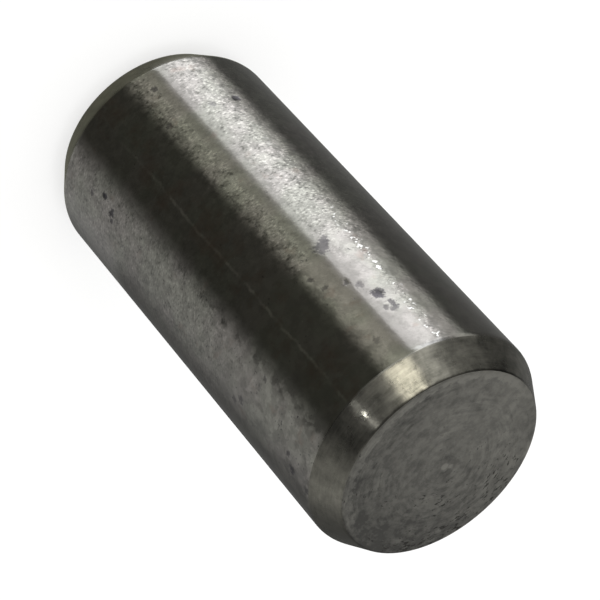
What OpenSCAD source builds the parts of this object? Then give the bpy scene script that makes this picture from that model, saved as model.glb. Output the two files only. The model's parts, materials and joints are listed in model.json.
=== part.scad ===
// Gearshift guide pin: a solid steel pin, ground straight along its shank,
// with a turned chamfer at each end and a flat faced end beyond it.
// It stands on its lower end face. The origin is the middle of that face,
// and +Z runs up the pin's axis.

/* [Pin] */
// Diameter of the ground shank
pin_d = 10; // [6:0.5:20]
// Length over both end faces
pin_len = 22; // [16:0.5:80]

/* [Chamfers] */
// Length of each chamfer along the axis
chamfer_len = 1.3; // [0.8:0.05:2.5]
// Depth of each chamfer, from the shank in to the end face's edge
chamfer_depth = 0.7; // [0.3:0.05:1.2]

/* [Edges] */
// Radius that blends the shank into each chamfer
shank_edge_r = 0.6; // [0.1:0.05:0.9]
// Radius of the edge between each chamfer and its end face
face_edge_r = 0.15; // [0.05:0.05:0.4]

/* [Hidden] */
$fn = 96;
steel_grey = [0.47, 0.46, 0.43];
shank_r = pin_d / 2;
face_r = shank_r - chamfer_depth;
// Angle between the chamfer and the axis
chamfer_angle = atan(chamfer_depth / chamfer_len);
// Distance from each corner to where its radius starts
shank_tangent = shank_edge_r * tan(chamfer_angle / 2);
face_tangent = face_edge_r * tan((90 - chamfer_angle) / 2);
// Hair by which an edge circle runs past the lines that it touches, so that they join without a sliver
overlap = 0.00003;
// Lower end's outline from the face to the shank, each corner cut where its radius starts and ends
lower_end = [
    [face_r - face_tangent, 0],
    [face_r + face_tangent * sin(chamfer_angle), face_tangent * cos(chamfer_angle)],
    [shank_r - shank_tangent * sin(chamfer_angle), chamfer_len - shank_tangent * cos(chamfer_angle)],
    [shank_r, chamfer_len + shank_tangent]
];
// The upper end is the same outline turned over, read from the shank to the face
upper_end = [for (i = [len(lower_end) - 1:-1:0]) [lower_end[i].x, pin_len - lower_end[i].y]];

// Rounds one end's two corners, each circle touching the lines on both sides of its corner
module edge_circles() {
    translate([face_r - face_tangent, face_edge_r]) circle(r = face_edge_r + overlap);
    translate([shank_r - shank_edge_r, chamfer_len + shank_tangent]) circle(r = shank_edge_r + overlap);
}

// Half of the pin's lengthwise section, from the axis outwards, trimmed flush with the shank and the faces
module half_section() {
    intersection() {
        union() {
            polygon(concat([[0, 0]], lower_end, upper_end, [[0, pin_len]]));
            edge_circles();
            translate([0, pin_len]) mirror([0, 1]) edge_circles();
        }
        square([shank_r, pin_len]);
    }
}

module guide_pin() {
    color(steel_grey) rotate_extrude() half_section();
}

guide_pin();
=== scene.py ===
import json
import math

import bpy
from mathutils import Matrix, Vector


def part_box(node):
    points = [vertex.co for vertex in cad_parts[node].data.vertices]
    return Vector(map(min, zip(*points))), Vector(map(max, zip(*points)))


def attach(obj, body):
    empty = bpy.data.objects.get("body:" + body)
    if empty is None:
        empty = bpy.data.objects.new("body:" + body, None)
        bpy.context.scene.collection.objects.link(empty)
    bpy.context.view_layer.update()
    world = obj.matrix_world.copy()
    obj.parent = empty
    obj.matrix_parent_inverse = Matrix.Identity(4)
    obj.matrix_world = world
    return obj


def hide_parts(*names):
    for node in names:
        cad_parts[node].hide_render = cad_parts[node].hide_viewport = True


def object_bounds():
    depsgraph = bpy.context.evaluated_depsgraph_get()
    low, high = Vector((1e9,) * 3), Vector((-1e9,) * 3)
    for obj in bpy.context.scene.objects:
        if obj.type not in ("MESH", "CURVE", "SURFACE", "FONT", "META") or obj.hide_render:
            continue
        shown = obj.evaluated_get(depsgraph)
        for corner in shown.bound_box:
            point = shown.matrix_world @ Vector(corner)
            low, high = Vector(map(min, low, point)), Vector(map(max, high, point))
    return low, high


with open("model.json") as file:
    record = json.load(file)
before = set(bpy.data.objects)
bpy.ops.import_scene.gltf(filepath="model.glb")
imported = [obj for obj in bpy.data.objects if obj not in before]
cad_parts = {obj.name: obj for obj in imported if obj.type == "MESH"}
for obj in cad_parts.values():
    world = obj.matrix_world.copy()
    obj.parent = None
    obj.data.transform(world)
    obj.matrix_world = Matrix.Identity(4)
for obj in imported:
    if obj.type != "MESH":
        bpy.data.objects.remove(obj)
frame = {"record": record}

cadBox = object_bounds()
mm = 0.001


# Nodes and wires, for the shaders and for the shape alike

class Wire:
    # One output socket. Sums written with it become Math nodes in its tree.
    def __init__(self, bench, socket):
        self.bench = bench
        self.socket = socket

    def also(self, name):
        return Wire(self.bench, self.socket.node.outputs[name])

    def maths(self, operation, *others):
        return self.bench.add("ShaderNodeMath", {"operation": operation}, [self, *others])

    def between(self, low, high, start=0.0, end=1.0, steps="SMOOTHSTEP"):
        return self.bench.add("ShaderNodeMapRange", {"interpolation_type": steps},
                              [self, low, high, start, end])

    def within(self, begins, full, fades, ends, most=1.0):
        # Rises from 0 to 1 between the first two places, and falls from most to 0 between the last two.
        return self.between(begins, full) * self.between(fades, ends, most, 0.0)

    def __add__(self, other):
        return self.maths("ADD", other)

    def __sub__(self, other):
        return self.maths("SUBTRACT", other)

    def __rsub__(self, other):
        return self.bench.add("ShaderNodeMath", {"operation": "SUBTRACT"}, [other, self])

    def __mul__(self, other):
        return self.maths("MULTIPLY", other)

    def __truediv__(self, other):
        return self.maths("DIVIDE", other)

    def __rtruediv__(self, other):
        return self.bench.add("ShaderNodeMath", {"operation": "DIVIDE"}, [other, self])

    def __pow__(self, other):
        return self.maths("POWER", other)

    def __gt__(self, other):
        return self.maths("GREATER_THAN", other)

    def __lt__(self, other):
        return self.maths("LESS_THAN", other)

    __radd__ = __add__
    __rmul__ = __mul__


class Bench:
    # A node tree, and the one way that a node is put into it.
    def __init__(self, tree):
        self.tree = tree

    def add(self, kind, settings=None, inputs=(), output=0):
        node = self.tree.nodes.new(kind)
        for name, value in (settings or {}).items():
            setattr(node, name, value)
        for name, value in inputs.items() if isinstance(inputs, dict) else enumerate(inputs):
            if isinstance(value, Wire):
                self.tree.links.new(value.socket, node.inputs[name])
            elif value is not None:
                node.inputs[name].default_value = value
        return Wire(self, node.outputs[output]) if len(node.outputs) else node

    def blend(self, amount, first, second):
        return self.add("ShaderNodeMix", {"data_type": "RGBA"}, {0: amount, 6: first, 7: second}, 2)

    def point(self, x, y, z):
        return self.add("ShaderNodeCombineXYZ", None, [x, y, z])

    def split(self, where):
        x = self.add("ShaderNodeSeparateXYZ", None, [where])
        return x, x.also("Y"), x.also("Z")

    def noise(self, where, size, detail=3.0, roughness=0.55):
        return self.add("ShaderNodeTexNoise", None,
                        {"Vector": where, "Scale": 1 / size, "Detail": detail, "Roughness": roughness})

    def distance(self, here, there):
        return self.add("ShaderNodeVectorMath", {"operation": "DISTANCE"}, [here, there], "Value")


# Finishes. A row of numbers for between() holds what it reads, from and to, and what that becomes, from and
# to, which is 0 and 1 where it isn't given. It reads a noise, a place on the pin, or degrees round the pin.

def startFinish(name):
    material = bpy.data.materials.new(name)
    material.use_nodes = True
    material.node_tree.nodes.clear()
    bench = Bench(material.node_tree)
    where = bench.add("ShaderNodeTexCoord", None, {}, "Object")
    return material, bench, where


def closeFinish(bench, colour, roughness, height, anisotropy):
    normal = bench.add("ShaderNodeBump", None, {"Height": height, "Strength": 1.0, "Distance": 1.0})
    steel = bench.add("ShaderNodeBsdfPrincipled", None,
                      {"Base Color": colour, "Metallic": 1.0, "Roughness": roughness, "Normal": normal,
                       "Anisotropic": anisotropy, "Anisotropic Rotation": 0.25})
    bench.add("ShaderNodeOutputMaterial", None, {"Surface": steel})


def lines(bench, x, y, z, width, stretch, detail=2.0, roughness=0.6):
    # Noise drawn out round the axis, as a wheel or a tool leaves its marks.
    along = 1 / (width * stretch)
    return bench.noise(bench.point(x * along, y * along, z / width), 1.0, detail, roughness)


groundShank = {
    "lightSteel": (0.318, 0.316, 0.276, 1.0),
    "blushSteel": (0.326, 0.308, 0.284, 1.0),
    # Much lighter steel, used only for painted glints and a painted highlight
    "paintedHighlightSteel": (0.62, 0.62, 0.59, 1.0),
    "darkSteel": (0.062, 0.061, 0.053, 1.0),
    "rust": (0.160, 0.118, 0.096, 1.0),
    "pitFloor": (0.026, 0.024, 0.029, 1.0),
    "middleTone": 0.47,
    "roughMottle": 0.6,
    "smoothRoughness": 0.12,
    "groundRoughness": 0.22,
    "roughnessSpread": 0.05,
    "anisotropy": 0.3,
    "cloudSize": 1.5 * mm,
    "cloudTone": 0.34,
    "patchSize": 0.5 * mm,
    "patchTone": 0.30,
    "blotches": (0.46, 0.54, -0.06, 0.06),
    "lumpSize": 0.24 * mm,
    "lumpTone": 0.50,
    "lumpDepth": 0.0050 * mm,
    "crumbSize": 0.085 * mm,
    "crumbStretch": 1.7,
    "crumbTone": 0.45,
    "crumbDepth": 0.0010 * mm,
    "glints": (0.57, 0.70, 0.0, 0.26),
    "hollows": (0.30, 0.42, 0.22, 0.0),
    "hollowsSide": (-43, -38, 0.35, 1.0),
    "blushSize": 1.9 * mm,
    "blush": (0.38, 0.62),
    "rustSize": 1.1 * mm,
    "rustSpots": (0.60, 0.74, 0.0, 0.35),
    "rustBloom": (0.48, 0.60, 0.0, 0.35),
    "speckSize": 0.10 * mm,
    "specks": (0.71, 0.79),
    "speckDarkness": 0.85,
    "crowdSize": 0.9 * mm,
    "crowding": 0.36,
    "cloudCrowding": 0.20,
    "crowdedSide": (28, 34, 0.0, 0.035),
    "pitEdgeSize": 0.15 * mm,
    "pitEdge": (0.36, 0.70),
    "faintPitRagged": 2.1,
    "darkPitRagged": 1.0,
    "sunkDepth": 0.002 * mm,
}

# How rough the grinding is where the degrees begin, behind the pin, and where it changes from there: from and
# to in degrees round the pin, and by how much
grindingRough = 0.60
grindingStrips = [
    (-56, -44, 0.90),
    (-39, -34, -0.50),
    (-27.5, -24.5, -0.65),
    (-18, -15.5, 0.65),
    (-9, -4, -0.78),
    (26, 32, 0.60),
    (66, 80, -0.25),
]

# Where use has worn and marked the shank, and where light and shade are painted on it. Each "Around" is a row
# for within(), in degrees round the pin: where the mark begins, is full, begins to fade and ends, and then
# its strength where that isn't 1.
shankWearAndPaintedLight = {
    "rubbedHeight": (13.0 * mm, 15.5 * mm),
    "rubbedWander": 6 * mm,
    "rubbedTone": 0.035,
    "rubbedCalm": (-24, -20, 0.25, 0.0),
    "sandRubbedOff": 0.80,
    "lumpsRubbedOff": 0.25,
    "crumbsRubbedOff": 0.7,
    # The next two rows paint a reflected sheen into the olive band where the shank is rubbed
    "paintedOliveSheenAround": (-23, -20, -9, -5),
    "paintedOliveSheen": 0.12,
    # The next eight rows place painted glints, bright specks along the edge of the brightest band, and keep
    # the grain rougher in that strip
    "paintedGlintSize": 0.19 * mm,
    "paintedGlintStretch": 1.3,
    "paintedGlints": (0.61, 0.68),
    "paintedGlintsAround": (-45, -42.5, -41.5, -38),
    "paintedGlintsLean": (12 * mm, 21 * mm, 0.0, 5.0),
    "paintedGlintsWander": 5,
    "paintedGlintsHeight": (11 * mm, 14 * mm, 0.15, 0.9),
    "glintStripUnrubbed": 0.65,
    # The next three rows place a painted highlight along the top edge of the shank, in the brightest band
    "topEdgeHighlightHeight": (20.50 * mm, 20.66 * mm),
    "burnishAndHighlightWander": 0.35 * mm,
    "topEdgeHighlightAround": (-42, -34, -30, -17, 0.36),
    "patchyAround": (-13, -9, -5, -1),
    "patchy": (0.44, 0.56, -0.12, 0.12),
    "patchyRubbedOff": 0.5,
    "stonedAround": (-3, 4, 15, 21),
    "plateSize": 0.8 * mm,
    "plates": (0.47, 0.53, -1, 1),
    "plateTone": 0.10,
    "handledHeight": (13 * mm, 17 * mm),
    "handledSide": (27, 35),
    "dulledHeight": (18 * mm, 20.6 * mm, 0.0, 0.08),
    # The next four rows place painted shade: darker steel on the dark band's side of its edge, which makes
    # that edge jagged
    "paintedJaggedShade": (27.5, 31.5, -0.26, 0.03),
    "jaggedSteps": (2.5, 10),
    "jaggedAround": (20, 25, 34, 44),
    "jaggedHeight": (7 * mm, 12 * mm),
    # The next three rows place a painted highlight along the top edge of the shank, on the grey band's side
    "paintedEdgeLightHeight": (20.3 * mm, 20.6 * mm, 0.0, 0.16),
    "paintedEdgeLightWander": 1.4 * mm,
    "paintedEdgeLightAround": (24, 32, 44, 54),
    # The next three rows place painted light: a lighter strip on the grey band's side of the dark band's edge
    "paintedBandEdgeSide": (27, 33),
    "paintedBandEdgeWander": 30,
    "paintedBandEdgeFades": (30, 46, 0.06, 0.0),
}


def makeShankFinish():
    # A place is moved some centimetres where a noise has to differ from the others.
    g, wearAndLight = groundShank, shankWearAndPaintedLight
    material, bench, where = startFinish("groundShank")
    x, y, z = bench.split(where)
    around = x.maths("ARCTAN2", 0 - y) * (180 / math.pi)
    clouds = bench.noise(where, g["cloudSize"], 4.0, 0.6)
    patches = bench.noise(where, g["patchSize"], 3.0, 0.55)
    lumps = bench.noise(where, g["lumpSize"], 2.0, 0.5)
    crumbs = lines(bench, x, y, z, g["crumbSize"], g["crumbStretch"], 1.0)
    # The strip along the brightest band's edge, where glints are painted and the steel is left less rubbed
    glintStripEdge = around + (patches - 0.5) * wearAndLight["paintedGlintsWander"] - z.between(*wearAndLight["paintedGlintsLean"], "LINEAR")
    glintStrip = glintStripEdge.within(*wearAndLight["paintedGlintsAround"])
    rubbed = (z + (clouds - 0.5) * wearAndLight["rubbedWander"]).between(*wearAndLight["rubbedHeight"])
    rubbed = rubbed * (1 - glintStrip * wearAndLight["glintStripUnrubbed"])
    rough = grindingRough
    for start, end, change in grindingStrips:
        rough = around.between(start, end, 0.0, change) + rough
    hollows = crumbs.between(*g["hollows"]) * around.between(*g["hollowsSide"])
    glints = crumbs.between(*g["glints"]) - hollows
    sand = ((crumbs - 0.5) * g["crumbTone"] + glints) * (rough * (1 - rubbed * wearAndLight["sandRubbedOff"]))
    mottle = (lumps - 0.5) * (g["lumpTone"] - rubbed * wearAndLight["lumpsRubbedOff"])
    mottle = mottle + (patches - 0.5) * g["patchTone"] + (clouds - 0.5) * g["cloudTone"]
    mottle = mottle + patches.between(*g["blotches"])
    mottle = mottle + wearAndPaintedLight(bench, x, y, z, around, patches, rubbed)
    mottle = mottle * (rough * g["roughMottle"] + (1 - g["roughMottle"]))
    mottle = mottle * (1 - rubbed * around.between(*wearAndLight["rubbedCalm"]))
    # Painted light: a lighter strip on the grey band's side of the dark band's edge
    paintedBandEdgeLight = (around + (patches - 0.5) * wearAndLight["paintedBandEdgeWander"]).between(*wearAndLight["paintedBandEdgeSide"])
    paintedBandEdgeLight = paintedBandEdgeLight * around.between(*wearAndLight["paintedBandEdgeFades"])
    # Rubbed steel is a little lighter, and where it is rubbed the olive band also gets a painted sheen
    olive = around.within(*wearAndLight["paintedOliveSheenAround"])
    rubbedToneAndPaintedOliveSheen = rubbed * (olive * wearAndLight["paintedOliveSheen"] + wearAndLight["rubbedTone"])
    tone = sand + mottle + paintedBandEdgeLight + scratchLine(bench, around, z) + rubbedToneAndPaintedOliveSheen + g["middleTone"]
    blush = bench.noise(bench.point(x, y + 0.021, z), g["blushSize"], 2.0).between(*g["blush"])
    colour = bench.blend(tone, g["darkSteel"], bench.blend(blush, g["lightSteel"], g["blushSteel"]))
    # Painted glints: bright specks of much lighter steel along the brightest band's edge
    paintedGlints = lines(bench, x, y, z + 0.011, wearAndLight["paintedGlintSize"], wearAndLight["paintedGlintStretch"], 1.0)
    paintedGlints = paintedGlints.between(*wearAndLight["paintedGlints"]) * glintStrip * z.between(*wearAndLight["paintedGlintsHeight"])
    colour = bench.blend(paintedGlints, colour, g["paintedHighlightSteel"])
    # Painted highlight: much lighter steel along the top edge, where the brightest band meets it
    burnishAndPaintedHighlight = (z + (patches - 0.5) * wearAndLight["burnishAndHighlightWander"]).between(*wearAndLight["topEdgeHighlightHeight"])
    burnishAndPaintedHighlight = burnishAndPaintedHighlight * around.within(*wearAndLight["topEdgeHighlightAround"])
    colour = bench.blend(burnishAndPaintedHighlight, colour, g["paintedHighlightSteel"])
    rust = bench.noise(bench.point(x + 0.013, y, z), g["rustSize"], 3.0, 0.65)
    bloom = rust.between(*g["rustBloom"]) * around.within(*wearAndLight["stonedAround"])
    colour = bench.blend(rust.between(*g["rustSpots"]) + bloom, colour, g["rust"])
    sunk = (pitMask(bench, where) + speckMask(bench, where, clouds, around)).maths("MINIMUM", 1.0)
    colour = bench.blend(sunk, colour, g["pitFloor"])
    roughness = (rough * (1 - rubbed)).between(0, 1, g["smoothRoughness"], g["groundRoughness"], "LINEAR")
    roughness = roughness + (patches - 0.5) * g["roughnessSpread"]
    height = crumbs * (1 - rubbed * wearAndLight["crumbsRubbedOff"]) * g["crumbDepth"]
    height = height + lumps * rough * g["lumpDepth"]
    closeFinish(bench, colour, roughness, height - sunk * g["sunkDepth"], g["anisotropy"])
    return material


def wearAndPaintedLight(bench, x, y, z, around, patches, rubbed):
    # Blotches and plates of lighter and darker steel, each in its own part of the shank, and painted light
    # and shade at the dark band's edge and along the top edge.
    wearAndLight = shankWearAndPaintedLight
    patchy = around.within(*wearAndLight["patchyAround"]) * patches.between(*wearAndLight["patchy"])
    patchy = patchy * (1 - rubbed * wearAndLight["patchyRubbedOff"])
    plates = bench.noise(bench.point(x, y, z + 0.017), wearAndLight["plateSize"], 3.0, 0.6).between(*wearAndLight["plates"])
    handled = plates * wearAndLight["plateTone"] - z.between(*wearAndLight["dulledHeight"])
    handled = z.between(*wearAndLight["handledHeight"]) * handled * around.between(*wearAndLight["handledSide"])
    # Painted shade: darker steel on the dark band's side of its edge, which makes that edge jagged
    plateStep, patchStep = wearAndLight["jaggedSteps"]
    paintedJaggedShade = (around + plates * plateStep + (patches - 0.5) * patchStep).between(*wearAndLight["paintedJaggedShade"])
    paintedJaggedShade = paintedJaggedShade * around.within(*wearAndLight["jaggedAround"]) * z.between(*wearAndLight["jaggedHeight"])
    # Painted highlight: lighter steel along the top edge, on the grey band's side
    paintedEdgeLight = (z + (patches - 0.5) * wearAndLight["paintedEdgeLightWander"]).between(*wearAndLight["paintedEdgeLightHeight"])
    return patchy + handled + paintedJaggedShade + paintedEdgeLight * around.within(*wearAndLight["paintedEdgeLightAround"])


# The scratch's place and edges are in degrees round the pin, and so is how far it swings.
longScratch = {
    "place": 12.0,
    "sharp": 0.13,
    "gone": 1.04,
    "slowWave": 4 * mm,
    "slowSwing": 4.0,
    "quickWave": 0.40 * mm,
    "quickSwing": 4.2,
    "breakSize": 0.6 * mm,
    "breaks": (0.34, 0.68, 0.12, 0.66),
    "begins": (3 * mm, 6 * mm),
    "weakens": (11 * mm, 18 * mm, 1.0, 0.7),
}


def scratchLine(bench, around, z):
    # One long fine scratch down the shank, not quite straight and stronger in places.
    s = longScratch
    slow = bench.noise(bench.point(0.3, 0.7, z), s["slowWave"], 2.0) * s["slowSwing"]
    quick = bench.noise(bench.point(0.5, 0.4, z), s["quickWave"], 3.0, 0.7) * s["quickSwing"]
    wander = slow + quick - (s["slowSwing"] + s["quickSwing"]) / 2
    away = (around - s["place"] + wander).maths("ABSOLUTE")
    strength = bench.noise(bench.point(0.1, 0.2, z), s["breakSize"], 3.0).between(*s["breaks"])
    strength = strength * z.between(*s["begins"]) * z.between(*s["weakens"])
    return away.between(s["sharp"], s["gone"], 1.0, 0.0) * strength


def pitMask(bench, where):
    # The shape carries how near each place is to a pit and how dark that pit is. Noise eats its edge away.
    g = groundShank
    near = bench.add("ShaderNodeAttribute", {"attribute_name": "pit"}, {}, "Fac")
    dark = bench.add("ShaderNodeAttribute", {"attribute_name": "pitDark"}, {}, "Fac")
    ragged = bench.noise(where, g["pitEdgeSize"], 3.0, 0.6) - 0.5
    ragged = ragged * (g["faintPitRagged"] - dark * (g["faintPitRagged"] - g["darkPitRagged"]))
    return (near + ragged).between(*g["pitEdge"]) * dark


def speckMask(bench, where, clouds, around):
    # Small ragged specks of corrosion that crowd together in places.
    g = groundShank
    specks = bench.noise(where, g["speckSize"], 2.0, 0.55)
    crowd = (bench.noise(where, g["crowdSize"], 2.0) - 0.5) * g["crowding"]
    crowd = crowd + (clouds - 0.5) * g["cloudCrowding"] + around.between(*g["crowdedSide"])
    return (specks + crowd).between(*g["specks"]) * g["speckDarkness"]


# The burnished spot is a small place on the upper chamfer: degrees round the pin, mm up, and mm in from the
# shank.
turnedChamfer = {
    "lightSteel": (0.285, 0.275, 0.236, 1.0),
    "darkSteel": (0.066, 0.065, 0.056, 1.0),
    # Colour of the painted shade along the end edges
    "paintedEdgeShade": (0.022, 0.021, 0.018, 1.0),
    "middleTone": 0.46,
    "calmSide": (1.5 * mm, 3 * mm, 1.0, 0.6),
    "roughness": 0.28,
    "roughnessSpread": 0.12,
    "anisotropy": 0.8,
    "toolMark": 0.075 * mm,
    "toolStretch": 9.0,
    "toolTone": 0.60,
    "toolDepth": 0.0010 * mm,
    "cloudSize": 1.2 * mm,
    "cloudTone": 0.9,
    "patchSize": 0.42 * mm,
    "patchTone": 1.12,
    "patchDepth": 0.004 * mm,
    "grainSize": 0.09 * mm,
    "grainTone": 0.25,
    "grainDepth": 0.0010 * mm,
    # The next three rows place that painted shade: a dark line along both end edges, darkest on one side
    "paintedEdgeShadeHeight": (0.06 * mm, 0.13 * mm, 0.75, 0.0),
    "paintedEdgeShadeWander": 0.10 * mm,
    "paintedEdgeShadeSide": (0.5 * mm, 2.2 * mm, 1.0, 0.15),
    "burnishedSpot": (10.8, 21.28, 0.45),
    "burnishAndPaintedHighlight": (0.078 * mm, 0.26 * mm, 1.0, 0.0),
    "burnishAndHighlightWander": 0.15 * mm,
    "burnishedRoughness": 0.115,
}


def makeChamferFinish():
    c = turnedChamfer
    material, bench, where = startFinish("turnedChamfer")
    x, y, z = bench.split(where)
    marks = lines(bench, x, y, z, c["toolMark"], c["toolStretch"])
    clouds = bench.noise(where, c["cloudSize"], 3.0, 0.55)
    patches = bench.noise(where, c["patchSize"], 3.0, 0.6)
    grain = bench.noise(where, c["grainSize"], 2.0, 0.7)
    tone = (marks - 0.5) * c["toolTone"] + (patches - 0.5) * c["patchTone"]
    tone = tone + (clouds - 0.5) * c["cloudTone"] + (grain - 0.5) * c["grainTone"]
    tone = tone * x.between(*c["calmSide"]) + c["middleTone"]
    colour = bench.blend(tone, c["darkSteel"], c["lightSteel"])
    fromEnd = z.maths("MINIMUM", pin["Length"] - z)
    # Painted shade: a dark line along the end edges, darkest on one side of the pin
    paintedEdgeShade = (fromEnd + (patches - 0.5) * c["paintedEdgeShadeWander"]).between(*c["paintedEdgeShadeHeight"])
    colour = bench.blend(paintedEdgeShade * x.between(*c["paintedEdgeShadeSide"]), colour, c["paintedEdgeShade"])
    spot = bench.distance(where, onShank(*c["burnishedSpot"]))
    spot = (spot + (grain - 0.5) * c["burnishAndHighlightWander"]).between(*c["burnishAndPaintedHighlight"])
    roughness = c["roughness"] + (clouds - 0.5) * c["roughnessSpread"]
    roughness = roughness + (c["burnishedRoughness"] - roughness) * spot
    height = marks * c["toolDepth"] + grain * c["grainDepth"] + patches * c["patchDepth"]
    closeFinish(bench, colour, roughness, height, c["anisotropy"])
    return material


# The centre marks are a painted highlight and a painted shadow on the small pip that the tool left: right, up
# and radius in mm from the centre that the tool turned about, and the change of tone.
facedEnd = {
    "lightSteel": (0.266, 0.260, 0.232, 1.0),
    "darkSteel": (0.085, 0.083, 0.076, 1.0),
    "pitFloor": (0.030, 0.028, 0.024, 1.0),
    "middleTone": 0.50,
    "roughness": 0.50,
    "roughnessSpread": 0.12,
    "toolMark": 0.15 * mm,
    "arcLength": 0.9 * mm,
    "toolDepth": 0.0050 * mm,
    "toolCentre": (-0.04 * mm, 0.29 * mm),
    "ringTone": 0.32,
    "sweptRingTone": 0.80,
    "sweptSize": 1.7 * mm,
    "swept": (0.42, 0.58),
    "wanderSize": 1.3 * mm,
    "wander": 3.2,
    "cloudSize": 0.9 * mm,
    "cloudTone": 1.05,
    "patchSize": 0.33 * mm,
    "patchTone": 0.75,
    "patchDepth": 0.006 * mm,
    "blotches": (0.45, 0.53, -0.045, 0.045),
    "grainSize": 0.08 * mm,
    "grainTone": 0.35,
    "grainDepth": 0.0015 * mm,
    "centrePipHighlightAndShadow": [(0.0, 0.0, 0.19, 0.68), (-0.19, 0.26, 0.13, 0.50), (-0.17, -0.25, 0.28, -0.26)],
    "centreMarkEdge": (0.5, 1.1),
    "centreMarkWander": 0.14 * mm,
    # The next four rows place painted light and shade: a thin ring near the rim, lighter on one side and
    # darker on the other
    "border": (3.92 * mm, 4.04 * mm),
    "borderWander": 0.6 * mm,
    "borderLean": (0, 3 * mm, 0.0, 0.10 * mm),
    "paintedRimLightAndShade": (-1.5 * mm, 1 * mm, 0.30, -0.10),
    "outerShade": (2.4 * mm, 3.7 * mm, 0.0, 0.09),
    # The next two rows are a painted shade: the direction in degrees and the strength of a darkening across
    # the face
    "paintedShadeFrom": 97.0,
    "paintedSideShade": 0.32,
    "speckWidth": 0.12 * mm,
    "speckLength": 0.26 * mm,
    "specks": (0.69, 0.79),
    "speckDarkness": 0.85,
    "speckDepth": 0.006 * mm,
    "crowdSize": 0.9 * mm,
    "crowding": 0.48,
    "sideCrowding": 0.12,
    "crowdedSide": (-1 * mm, 4 * mm, 0.0, 0.24),
}


def makeFaceFinish():
    f = facedEnd
    material, bench, where = startFinish("facedEnd")
    x, y, z = bench.split(where)
    radius = (x * x + y * y) ** 0.5
    across, beyond = x - f["toolCentre"][0], y - f["toolCentre"][1]
    swing = (across * across + beyond * beyond) ** 0.5
    along = 1 / f["arcLength"]
    wander = bench.noise(where, f["wanderSize"], 3.0, 0.6) * f["wander"]
    rings = bench.noise(bench.point(swing / f["toolMark"] + wander, x * along, y * along), 1.0, 2.0, 0.6)
    swept = bench.noise(bench.point(x, y + 0.03, z), f["sweptSize"], 2.0).between(*f["swept"])
    clouds = bench.noise(where, f["cloudSize"], 3.0, 0.6)
    patches = bench.noise(where, f["patchSize"], 3.0, 0.6)
    grain = bench.noise(where, f["grainSize"], 2.0, 0.7)
    # Painted shade: the face darkens steadily towards one side
    turn = math.radians(f["paintedShadeFrom"])
    side = (x * math.sin(turn) - y * math.cos(turn)) / (pin["Shank Radius"] - pin["Chamfer Depth"])
    solid, gone = f["centreMarkEdge"]
    # Painted highlight and painted shadow of the small pip at the tool's centre
    centre = 0.0
    for right, up, size, change in f["centrePipHighlightAndShadow"]:
        away = bench.distance(bench.point(across, beyond, 0.0), (right * mm, up * mm, 0.0))
        away = away + (grain - 0.5) * f["centreMarkWander"]
        centre = away.between(size * solid * mm, size * gone * mm, change, 0.0) + centre
    # Painted light and shade: a thin ring near the rim, lighter on one side and darker on the other
    border = radius + (patches - 0.5) * f["borderWander"] + x.between(*f["borderLean"])
    border = border.between(*f["border"])
    tone = (rings - 0.5) * (swept * f["sweptRingTone"] + f["ringTone"])
    tone = tone + (clouds - 0.5) * f["cloudTone"] + (patches - 0.5) * f["patchTone"]
    tone = tone + patches.between(*f["blotches"]) + (grain - 0.5) * f["grainTone"] + centre
    tone = tone - side * f["paintedSideShade"] + border * y.between(*f["paintedRimLightAndShade"]) + f["middleTone"]
    tone = tone - radius.between(*f["outerShade"])
    colour = bench.blend(tone, f["darkSteel"], f["lightSteel"])
    drawn = bench.point(radius / f["speckWidth"], x / f["speckLength"], y / f["speckLength"])
    crowd = bench.noise(where, f["crowdSize"], 2.0) + side * f["sideCrowding"] + y.between(*f["crowdedSide"])
    specks = bench.noise(drawn, 1.0, 3.0, 0.6) + (crowd - 0.5) * f["crowding"]
    specks = specks.between(*f["specks"]) * f["speckDarkness"]
    colour = bench.blend(specks, colour, f["pitFloor"])
    roughness = f["roughness"] + (clouds - 0.5) * f["roughnessSpread"]
    height = rings * f["toolDepth"] + grain * f["grainDepth"] + patches * f["patchDepth"]
    closeFinish(bench, colour, roughness, height - specks * f["speckDepth"], 0.0)
    return material


# The pin's shape

shankMount = next(m for m in frame["record"]["mounts"] if m["name"] == "shank")
pinLow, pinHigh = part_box("guide_pin")

pin = {
    "Shank Radius": shankMount["dims"]["r_mm"] * mm,
    "Length": pinHigh[2] - pinLow[2],
    "Chamfer Length": 1.3 * mm,
    "Chamfer Depth": 0.7 * mm,
    "Shank Edge Radius": 0.6 * mm,
    "Face Edge Radius": 0.15 * mm,
    "Columns": 352,
    "Row Spacing": 0.125 * mm,
    "Ring Pitch": 0.55 * mm,
    "Ring Depth": 0.0025 * mm,
    "Grinding Waves": 0.0012 * mm,
}

# How the surface is made: how the rings on the faces wander, the length of the grinding waves and how they
# fade towards the chamfers, how near the end a place is flat or has the face's finish, how a pit's wall runs
# (0.5 is its rim and 1 its middle), the points on each rounded corner, and how near points are welded
surfaceMarks = {
    "ringWanderSize": 2.2 * mm,
    "ringWander": 1.5,
    "waveSize": 2.5 * mm,
    "waveFade": 0.5 * mm,
    "flatWithin": 0.01 * mm,
    "faceWithin": 0.03 * mm,
    "pitWall": (0.45, 0.9),
    "filletPoints": 5,
    "weldDistance": 2e-7,
}

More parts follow.
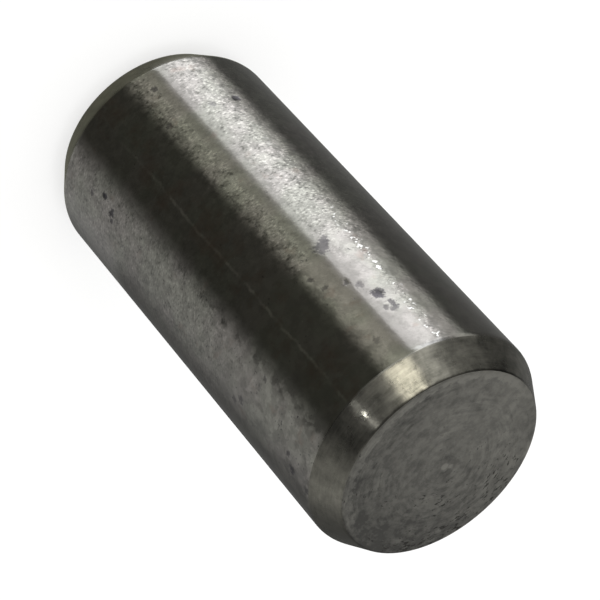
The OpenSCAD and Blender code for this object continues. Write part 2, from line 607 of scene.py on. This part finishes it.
# Pits and stains that can be seen one by one: degrees round the shank, height, radius and depth in mm, and
# how dark it is
shankPits = [
    (-29.2, 17.45, 0.28, 0.040, 0.85),
    (-31.0, 18.00, 0.15, 0.020, 0.70),
    (-31.6, 18.28, 0.14, 0.015, 0.75),
    (-29.8, 18.42, 0.13, 0.015, 0.60),
    (-27.6, 18.25, 0.14, 0.015, 0.50),
    (-25.5, 16.70, 0.17, 0.010, 0.45),
    (-21.4, 16.30, 0.15, 0.010, 0.50),
    (-13.2, 16.00, 0.14, 0.015, 0.55),
    (-10.2, 15.30, 0.13, 0.015, 0.60),
    (-14.2, 19.40, 0.17, 0.005, 0.35),
    (-23.8, 14.15, 0.34, 0.004, 0.62),
    (-26.8, 13.90, 0.22, 0.004, 0.62),
    (-28.6, 13.75, 0.13, 0.004, 0.60),
    (-32.3, 4.55, 0.17, 0.015, 0.60),
    (-45.5, 4.50, 0.20, 0.030, 0.90),
    (-15.6, 2.40, 0.16, 0.015, 0.70),
    (-9.5, 4.60, 0.15, 0.010, 0.55),
    (36.5, 4.25, 0.16, 0.030, 0.90),
    (40.3, 5.00, 0.19, 0.030, 0.95),
    (43.5, 5.15, 0.13, 0.015, 0.80),
    (41.4, 3.40, 0.12, 0.015, 0.70),
    (34.2, 16.75, 0.12, 0.010, 0.50),
    (39.4, 16.65, 0.15, 0.005, 0.40),
    (53.8, 15.80, 0.19, 0.010, 0.65),
    (58.0, 15.35, 0.16, 0.010, 0.55),
    (52.3, 19.25, 0.14, 0.020, 0.75),
    (58.4, 19.60, 0.18, 0.030, 0.95),
    (60.9, 20.60, 0.15, 0.010, 0.60),
]


def onShank(degrees, height, inward=0.0):
    # A place on the shank, from degrees round it and mm up it and in from it, in metres.
    turn = math.radians(degrees)
    out = pin["Shank Radius"] - inward * mm
    return (out * math.sin(turn), -out * math.cos(turn), height * mm)


def pinTree():
    tree = bpy.data.node_groups.new("turnedAndGround", "GeometryNodeTree")
    face = tree.interface
    for name, value in pin.items():
        kind = "NodeSocketInt" if isinstance(value, int) else "NodeSocketFloat"
        face.new_socket(name, in_out="INPUT", socket_type=kind)
    for name in ("Shank Finish", "Chamfer Finish", "Face Finish"):
        face.new_socket(name, in_out="INPUT", socket_type="NodeSocketMaterial")
    face.new_socket("Geometry", in_out="OUTPUT", socket_type="NodeSocketGeometry")
    return tree


def drawSection(bench, given):
    # The half section as a curve: corners, then their radii, then points spaced for the rows.
    radius, length = given("Shank Radius"), given("Length")
    chamfer, faceRadius = given("Chamfer Length"), given("Shank Radius") - given("Chamfer Depth")
    corners = [(0.0, 0.0), (faceRadius, 0.0), (radius, chamfer),
               (radius, length - chamfer), (faceRadius, length), (0.0, length)]
    index = bench.add("GeometryNodeInputIndex")
    line = bench.add("GeometryNodeMeshLine", None, {"Count": len(corners)})
    place = pick(bench, "VECTOR", index, [bench.point(x, 0.0, z) for x, z in corners])
    line = bench.add("GeometryNodeSetPosition", None, {"Geometry": line, "Position": place})
    curve = bench.add("GeometryNodeMeshToCurve", None, {"Mesh": line})
    edge, faceEdge = given("Shank Edge Radius"), given("Face Edge Radius")
    edgeRadius = pick(bench, "FLOAT", index, [0.0, faceEdge, edge, edge, faceEdge, 0.0])
    curve = bench.add("GeometryNodeFilletCurve", {"mode": "POLY"},
                      {"Curve": curve, "Count": surfaceMarks["filletPoints"], "Radius": edgeRadius,
                       "Limit Radius": True})
    here = bench.add("GeometryNodeInputPosition")
    following = bench.add("GeometryNodeFieldAtIndex", {"data_type": "FLOAT_VECTOR"},
                          {"Value": here, "Index": index + 1})
    cuts = (bench.distance(here, following) / given("Row Spacing")).maths("FLOOR")
    return bench.add("GeometryNodeSubdivideCurve", None, {"Curve": curve, "Cuts": cuts})


def pick(bench, kind, index, choices):
    switch = bench.add("GeometryNodeIndexSwitch", {"data_type": kind}, {"Index": index})
    node = switch.socket.node
    while len(node.index_switch_items) < len(choices):
        node.index_switch_items.new()
    for slot, choice in enumerate(choices):
        if isinstance(choice, Wire):
            bench.tree.links.new(choice.socket, node.inputs[slot + 1])
        else:
            node.inputs[slot + 1].default_value = choice
    return Wire(bench, node.outputs[0])


def turnSection(bench, given, section):
    # A grid with a row for each point of the section and a column for each turn step, closed on itself.
    rows = bench.add("GeometryNodeAttributeDomainSize", {"component": "CURVE"}, {"Geometry": section})
    columns = given("Columns")
    grid = bench.add("GeometryNodeMeshGrid", None,
                     {"Size X": 1.0, "Size Y": 1.0, "Vertices X": columns + 1, "Vertices Y": rows}, "Mesh")
    index = bench.add("GeometryNodeInputIndex")
    row = index.maths("MODULO", rows)
    # The small number keeps rounding from putting a row's first point into the column before it.
    turn = (index / rows + 0.0001).maths("FLOOR") / columns * math.tau
    outline = bench.add("GeometryNodeSampleIndex", {"data_type": "FLOAT_VECTOR"},
                        {"Geometry": section, "Value": bench.add("GeometryNodeInputPosition"), "Index": row})
    radius, height = bench.split(outline)[::2]
    place = bench.point(radius * turn.maths("COSINE"), radius * turn.maths("SINE"), height)
    turned = bench.add("GeometryNodeSetPosition", None, {"Geometry": grid, "Position": place})
    return bench.add("GeometryNodeMergeByDistance", None,
                     {"Geometry": turned, "Distance": surfaceMarks["weldDistance"]})


def markSurface(bench, given, body):
    # Facing rings on the ends, slow waves left by grinding on the shank, and pits.
    here = bench.add("GeometryNodeInputPosition")
    x, y, z = bench.split(here)
    radius = (x * x + y * y) ** 0.5
    faceRadius = given("Shank Radius") - given("Chamfer Depth")
    fromEnd = z.maths("MINIMUM", given("Length") - z)
    faced = (radius < faceRadius - given("Face Edge Radius")) * (fromEnd < surfaceMarks["flatWithin"])
    ground = fromEnd.between(given("Chamfer Length"), given("Chamfer Length") + surfaceMarks["waveFade"])
    wander = bench.noise(here, surfaceMarks["ringWanderSize"], 2.0) * surfaceMarks["ringWander"]
    rings = ((radius / given("Ring Pitch") + wander) * math.tau).maths("SINE") - 1
    waves = (bench.noise(here, surfaceMarks["waveSize"], 2.0) - 0.5) * given("Grinding Waves")
    pits = placePits(bench)
    nearest = bench.add("GeometryNodeSampleNearest", {"domain": "POINT"}, {"Geometry": pits})
    centre = bench.add("GeometryNodeSampleIndex", {"data_type": "FLOAT_VECTOR"},
                       {"Geometry": pits, "Value": here, "Index": nearest})
    size, depth, dark = (bench.add("GeometryNodeSampleIndex", {"data_type": "FLOAT"},
                                   {"Geometry": pits, "Value": value, "Index": nearest})
                         for value in (bench.add("GeometryNodeInputRadius"), named(bench, "pitDepth"),
                                       named(bench, "pitDark")))
    near = 1 - bench.distance(here, centre) / (size * 2)
    pit = near.between(*surfaceMarks["pitWall"])
    height = rings * faced * given("Ring Depth") + waves * ground - pit * depth
    normal = bench.add("GeometryNodeInputNormal")
    offset = bench.add("ShaderNodeVectorMath", {"operation": "SCALE"}, {0: normal, "Scale": height})
    body = store(bench, body, "pit", near.maths("MAXIMUM", 0.0))
    body = store(bench, body, "pitDark", dark)
    return bench.add("GeometryNodeSetPosition", None, {"Geometry": body, "Offset": offset})


def store(bench, geometry, name, value):
    return bench.add("GeometryNodeStoreNamedAttribute", {"data_type": "FLOAT", "domain": "POINT"},
                     {"Geometry": geometry, "Name": name, "Value": value})


def named(bench, name):
    return bench.add("GeometryNodeInputNamedAttribute", {"data_type": "FLOAT"}, {"Name": name})


def placePits(bench):
    gathered = bench.add("GeometryNodeJoinGeometry")
    for degrees, height, size, depth, dark in shankPits:
        point = bench.add("GeometryNodePoints", None,
                          {"Count": 1, "Position": onShank(degrees, height), "Radius": size * mm})
        point = store(bench, store(bench, point, "pitDepth", depth * mm), "pitDark", dark)
        bench.tree.links.new(point.socket, gathered.socket.node.inputs[0])
    return gathered


def finishZones(bench, given, body):
    # Shank, chamfers and end faces each take the finish that their cut left.
    here = bench.add("GeometryNodeInputPosition")
    x, y, z = bench.split(here)
    radius = (x * x + y * y) ** 0.5
    fromEnd = z.maths("MINIMUM", given("Length") - z)
    faceRadius = given("Shank Radius") - given("Chamfer Depth")
    faced = (radius < faceRadius) * (fromEnd < surfaceMarks["faceWithin"])
    ground = fromEnd > given("Chamfer Length")
    body = bench.add("GeometryNodeSetMaterial", None, {"Geometry": body, "Material": given("Chamfer Finish")})
    body = bench.add("GeometryNodeSetMaterial", None,
                     {"Geometry": body, "Selection": ground, "Material": given("Shank Finish")})
    return bench.add("GeometryNodeSetMaterial", None,
                     {"Geometry": body, "Selection": faced, "Material": given("Face Finish")})


def makePin(finishes):
    tree = pinTree()
    bench = Bench(tree)
    entry = tree.nodes.new("NodeGroupInput")

    def given(name):
        # One of the tree's named inputs
        return Wire(bench, entry.outputs[name])

    body = turnSection(bench, given, drawSection(bench, given))
    body = markSurface(bench, given, body)
    body = bench.add("GeometryNodeSetShadeSmooth", None, {"Geometry": body})
    body = bench.add("GeometryNodeRealizeInstances", None, {"Geometry": body})
    body = finishZones(bench, given, body)
    bench.add("NodeGroupOutput", None, {"Geometry": body})

    maker = bpy.data.objects.new("pinMaker", bpy.data.meshes.new("pinMaker"))
    bpy.context.collection.objects.link(maker)
    shape = maker.modifiers.new("turnedAndGround", "NODES")
    shape.node_group = tree
    for item in tree.interface.items_tree:
        if item.in_out == "INPUT":
            shape[item.identifier] = {**pin, **finishes}[item.name]
    graph = bpy.context.evaluated_depsgraph_get()
    mesh = bpy.data.meshes.new_from_object(maker.evaluated_get(graph), depsgraph=graph)
    bpy.data.objects.remove(maker)
    mesh.name = "groundGuidePin"
    piece = bpy.data.objects.new("groundGuidePin", mesh)
    bpy.context.collection.objects.link(piece)
    return piece


# The table, the light and the camera

def towards(degrees, up):
    a, e = math.radians(degrees), math.radians(up)
    return Vector((math.sin(a) * math.cos(e), -math.cos(a) * math.cos(e), math.sin(e)))


def dress(name, points, faces, material):
    mesh = bpy.data.meshes.new(name)
    mesh.from_pydata(points, [], faces)
    mesh.polygons.foreach_set("use_smooth", [True] * len(mesh.polygons))
    mesh.materials.append(material)
    thing = bpy.data.objects.new(name, mesh)
    bpy.context.collection.objects.link(thing)
    return thing


table = {
    "paper": (0.86, 0.86, 0.85, 1.0),
    "whiteness": 0.70,
    "radius": 1.2,
    "wall": 0.6,
    "bend": 0.3,
    "bendSteps": 24,
    "sides": 96,
}


def makePaper():
    material = bpy.data.materials.new("palePaper")
    material.use_nodes = True
    material.node_tree.nodes.clear()
    bench = Bench(material.node_tree)
    path = bench.add("ShaderNodeLightPath", None, {}, "Is Camera Ray")
    seen = path.maths("MAXIMUM", path.also("Is Glossy Ray"))
    seen = seen.maths("MAXIMUM", path.also("Is Transmission Ray"))
    paper = bench.add("ShaderNodeBsdfDiffuse", None, {"Color": table["paper"]})
    white = bench.add("ShaderNodeEmission", None, {"Strength": 1.0})
    surface = bench.add("ShaderNodeMixShader", None, [seen * table["whiteness"], paper, white])
    bench.add("ShaderNodeOutputMaterial", None, {"Surface": surface})
    return material


def layTable():
    steps, sides = table["bendSteps"], table["sides"]
    outline = [(0.0, 0.0), (table["radius"] - table["bend"], 0.0)]
    for step in range(1, steps + 1):
        turn = math.radians(90 * step / steps)
        outline.append((table["radius"] - table["bend"] * (1 - math.sin(turn)),
                        table["bend"] * (1 - math.cos(turn))))
    outline.append((table["radius"], table["wall"]))
    points, faces = [(0.0, 0.0, 0.0)], []
    for side in range(sides):
        turn = math.tau * side / sides
        points += [(r * math.cos(turn), r * math.sin(turn), z) for r, z in outline[1:]]
    ring = len(outline) - 1
    for side in range(sides):
        here, there = 1 + side * ring, 1 + (side + 1) % sides * ring
        faces.append((0, here, there))
        faces += [(here + k, here + k + 1, there + k + 1, there + k) for k in range(ring - 1)]
    dress("paleTable", points, faces, makePaper())


def showInSteel(name, grid, shades, glows, colour):
    # A glowing sheet from a grid of points, seen only by glossy rays. Shades and glows are for its columns,
    # and a glow may be a list for the column's points.
    rows = len(grid[0])
    faces = [(c * rows + r, c * rows + r + 1, (c + 1) * rows + r + 1, (c + 1) * rows + r)
             for c in range(len(grid) - 1) for r in range(rows - 1)]
    material = bpy.data.materials.new(name)
    material.use_nodes = True
    material.node_tree.nodes.clear()
    bench = Bench(material.node_tree)
    shade = bench.add("ShaderNodeAttribute", {"attribute_name": "shade"}, {}, "Fac").between(0.0, 1.0)
    glow = bench.add("ShaderNodeAttribute", {"attribute_name": "glow"}, {}, "Fac")
    clear = bench.add("ShaderNodeBsdfTransparent")
    lit = bench.add("ShaderNodeEmission", None, {"Color": (*colour, 1.0), "Strength": glow})
    surface = bench.add("ShaderNodeMixShader", None, [shade, clear, lit])
    bench.add("ShaderNodeOutputMaterial", None, {"Surface": surface})
    sheet = dress(name, [point for column in grid for point in column], faces, material)
    for label, values in (("shade", shades), ("glow", glows)):
        spread = []
        for value in values:
            spread += value if isinstance(value, list) else [value] * rows
        sheet.data.attributes.new(label, "FLOAT", "POINT").data.foreach_set("value", spread)
    sheet.visible_camera = sheet.visible_diffuse = sheet.visible_shadow = sheet.visible_transmission = False


# Mats that lie on the table and show only in the steel, as white and black cards do round a small thing in
# a studio. "from" and "to" are the degrees round the shank between which each is mirrored, "soft" is how
# many degrees each of those edges takes to fade, "gap" is how far off the shank the mat begins, and "lift"
# is which mat lies on which. "brightness" is given at both edges. "narrows" is how many degrees the "from"
# edge has moved inwards at matLay's "narrowOver", and "far" is the share of the brightness that is left at
# both edges far out.
mats = {
    "keyMat": {"from": -41.5, "to": -23.4, "soft": (15, 0.5), "gap": 0.0, "lift": 1,
               "brightness": (5.35, 2.58), "colour": (0.94, 0.952, 1.0), "narrows": 3.0, "far": (0.04, 0.95)},
    "oliveMat": {"from": -22, "to": -3, "soft": (4, 1), "gap": 0.0, "lift": 1,
                 "brightness": (0.56, 1.50), "colour": (1.0, 1.0, 0.90)},
    "leftMat": {"from": -92, "to": -50, "soft": (6, 6), "gap": 0.0, "lift": 2,
                "brightness": (0.19, 0.18), "colour": (1.0, 1.0, 0.97)},
    "frontMat": {"from": -10.4, "to": 30.8, "soft": (12.5, 18), "gap": 0.0, "lift": 3,
                 "brightness": (0.13, 0.09), "colour": (1.0, 1.0, 0.88)},
    "greyMat": {"from": 15, "to": 92, "soft": (1, 6), "gap": 0.0, "lift": 1,
                "brightness": (0.66, 0.58), "colour": (1.0, 1.0, 1.0)},
    "rightMat": {"from": 66, "to": 92, "soft": (26, 6), "gap": 0.0, "lift": 2,
                 "brightness": (0.23, 0.13), "colour": (1.0, 1.0, 0.97)},
    "farMat": {"from": 60, "to": 92, "soft": (30, 6), "gap": 6 * mm, "lift": 3,
               "brightness": (0.20, 0.09), "colour": (1.0, 1.0, 0.97)},
}

# How every mat is laid: its points in mm out from the shank, its columns, the step between one lift and the
# next in mm, and in mm out where it narrows and fades. Up to "keepFrom" of its width, a mat fades far out as
# its "from" edge does.
matLay = {
    "rows": (0, 3, 6, 10, 15, 20, 26, 34, 42, 52, 62, 80, 108),
    "columns": 48,
    "liftStep": 0.1,
    "narrowOver": 20,
    "narrowUntil": 26,
    "fadeFrom": 27,
    "fadeOver": 16,
    "keepFrom": 0.3,
}


def layMat(name, mat):
    # The mat's edges run the way that the shank mirrors them, so that its bands are straight.
    lay = matLay
    softFrom, softTo = mat["soft"]
    low, high = mat["from"] - softFrom / 2, mat["to"] + softTo / 2
    atFrom, atTo = mat["brightness"]
    farFrom, farTo = mat.get("far", (1.0, 1.0))
    grid, shades, glows = [], [], []
    for column in range(lay["columns"] + 1):
        share = column / lay["columns"]
        angle = low + (high - low) * share
        kept = farFrom + (farTo - farFrom) * max(0.0, share - lay["keepFrom"]) / (1 - lay["keepFrom"])
        edge, levels = [], []
        for out in lay["rows"]:
            narrowed = (min(out, lay["narrowUntil"]) / lay["narrowOver"]) ** 2
            inwards = mat.get("narrows", 0.0) * (1 - share) * narrowed
            turn = math.radians(angle + inwards)
            foot = onShank(angle + inwards, lay["liftStep"] * mat["lift"])
            reach = mat["gap"] + out * mm
            edge.append((foot[0] + reach * math.sin(2 * turn), foot[1] - reach * math.cos(2 * turn), foot[2]))
            faded = min(1.0, max(0.0, (out - lay["fadeFrom"]) / lay["fadeOver"])) * (1 - kept)
            levels.append((atFrom + (atTo - atFrom) * share) * (1 - faded))
        grid.append(edge)
        glows.append(levels)
        shades.append(max(0.0, min(1.0, (angle - low) / softFrom, (high - angle) / softTo)))
    showInSteel(name, grid, shades, glows, mat["colour"])


# Screens that stand round the pin, for the chamfers: degrees round from the camera, with the brightness there
screens = {
    "leftScreen": [(-170, 0.60), (-150, 0.60), (-142, 0.55), (-134, 0.24), (-126, 0.14), (-110, 0.15),
                   (-99, 0.22), (-88, 0.28), (-78, 0.36), (-67, 0.58), (-57, 1.0), (-52, 1.5), (-46, 2.2),
                   (-40, 2.6)],
    "rightScreen": [(-12, 0.45), (0, 0.42), (10, 0.26), (24, 0.10), (34, 0.06), (50, 0.06), (60, 0.29),
                    (70, 0.42), (80, 0.64), (90, 0.74), (99, 0.74), (108, 0.61), (117, 0.32), (125, 0.25),
                    (133, 0.19), (155, 0.16), (170, 0.30)],
}

# Both screens' height, distance from the axis and colour, and in degrees how their ends fade and how finely
# they bend
screenStand = {
    "height": 90 * mm,
    "distance": 115 * mm,
    "colour": (1.0, 1.0, 0.98),
    "soft": 6.0,
    "step": 2,
}


def standScreen(name, stops):
    s = screenStand
    first, last = stops[0][0], stops[-1][0]
    grid, shades, glows = [], [], []
    for angle in range(first, last + 1, s["step"]):
        turn = math.radians(angle)
        x, y = s["distance"] * math.sin(turn), -s["distance"] * math.cos(turn)
        grid.append([(x, y, 0.0), (x, y, s["height"])])
        shades.append(max(0.0, min(1.0, (angle - first) / s["soft"], (last - angle) / s["soft"])))
        before = max(stop for stop in stops if stop[0] <= angle)
        after = min(stop for stop in stops if stop[0] >= angle)
        share = (angle - before[0]) / max(1, after[0] - before[0])
        glows.append(before[1] + (after[1] - before[1]) * share)
    showInSteel(name, grid, shades, glows, s["colour"])


# The shade in the corner under the lower chamfer: how far out from the shank and how high each edge is
footShade = {
    "inner": (-0.75 * mm, 0.02 * mm),
    "outer": (0.25 * mm, 0.36 * mm),
    "brightness": 0.26,
    "colour": (1.0, 1.0, 0.80),
    "step": 5,
}


def shadeFoot():
    grid = []
    for degrees in range(0, 361, footShade["step"]):
        turn = math.radians(degrees)
        grid.append([((pin["Shank Radius"] + out) * math.sin(turn),
                      -(pin["Shank Radius"] + out) * math.cos(turn), height)
                     for out, height in (footShade["inner"], footShade["outer"])])
    level = [footShade["brightness"]] * len(grid)
    showInSteel("footShade", grid, [1.0] * len(grid), level, footShade["colour"])


# How bright the room is: the height of a direction from and to, and the brightness from and to
roomSky = (0.55, 0.95, 0.70, 0.32)

# A lamp's power goes with its area, so its brightness stays when its size is changed.
wattsForBrightness = 4

# Name, degrees round from the camera, degrees up, distance, width, height, brightness, colour, and whether
# the steel mirrors it
lamps = [
    ("overhead", 0, 90, 0.60, 0.80, 0.80, 2.0, (1.0, 1.0, 1.0), False),
    ("warmPanel", -26, 20, 0.40, 0.15, 0.12, 5.75, (1.0, 0.96, 0.84), True),
    ("spark", 20.1, 23.8, 0.108, 0.003, 0.004, 44.0, (1.0, 1.0, 1.0), True),
]


def hangLamps(middle):
    for name, degrees, up, distance, width, height, brightness, colour, mirrored in lamps:
        lamp = bpy.data.lights.new(name, "AREA")
        lamp.shape = "RECTANGLE"
        lamp.size = width
        lamp.size_y = height
        lamp.energy = wattsForBrightness * width * height * brightness
        lamp.color = colour
        hung = bpy.data.objects.new(name, lamp)
        way = towards(degrees, up)
        hung.location = middle + way * distance
        hung.rotation_euler = way.to_track_quat("Z", "Y").to_euler()
        hung.visible_camera = False
        hung.visible_glossy = mirrored
        bpy.context.collection.objects.link(hung)
    world = bpy.data.worlds.new("room")
    bpy.context.scene.world = world
    world.use_nodes = True
    world.node_tree.nodes.clear()
    bench = Bench(world.node_tree)
    way = bench.add("ShaderNodeSeparateXYZ", None, [bench.add("ShaderNodeTexCoord", None, {}, "Generated")])
    glow = way.also("Z").between(*roomSky)
    sky = bench.add("ShaderNodeBackground", None, {"Color": (1.0, 1.0, 1.0, 1.0), "Strength": glow})
    bench.add("ShaderNodeOutputWorld", None, {"Surface": sky})


# Angles are in degrees. The camera is rolled, so that the upright pin runs slantwise. "aside" and "above" are
# how far right and up the pin's middle is from the view's middle.
closeCamera = {
    "lens": 160.5,
    "distance": 106.04 * mm,
    "elevation": 39.04,
    "roll": 138.51,
    "aside": -0.44 * mm,
    "above": 0.32 * mm,
    "clipStart": 0.001,
}


def setCamera(middle):
    c = closeCamera
    back = towards(0, c["elevation"])
    level = Vector((1.0, 0.0, 0.0))
    steep = back.cross(level)
    roll = math.radians(c["roll"])
    right = level * math.cos(roll) + steep * math.sin(roll)
    up = steep * math.cos(roll) - level * math.sin(roll)
    camera = bpy.data.objects.new("camera", bpy.data.cameras.new("camera"))
    camera.data.lens = c["lens"]
    camera.data.clip_start = c["clipStart"]
    place = middle - right * c["aside"] - up * c["above"] + back * c["distance"]
    camera.matrix_world = Matrix.Translation(place) @ Matrix((right, up, back)).transposed().to_4x4()
    bpy.context.collection.objects.link(camera)
    bpy.context.scene.camera = camera


middle = Vector((0.0, 0.0, (cadBox[0][2] + cadBox[1][2]) / 2))
setCamera(middle)
layTable()
hangLamps(middle)
for name, mat in mats.items():
    layMat(name, mat)
for name, stops in screens.items():
    standScreen(name, stops)
shadeFoot()
bpy.context.scene.view_settings.view_transform = "Standard"
print("camera, table and lights are set")

finishes = {
    "Shank Finish": makeShankFinish(),
    "Chamfer Finish": makeChamferFinish(),
    "Face Finish": makeFaceFinish(),
}
print("finishes are mixed")

groundPin = makePin(finishes)
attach(groundPin, "root")
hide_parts("guide_pin")
print("pin is turned:", len(groundPin.data.polygons), "faces")
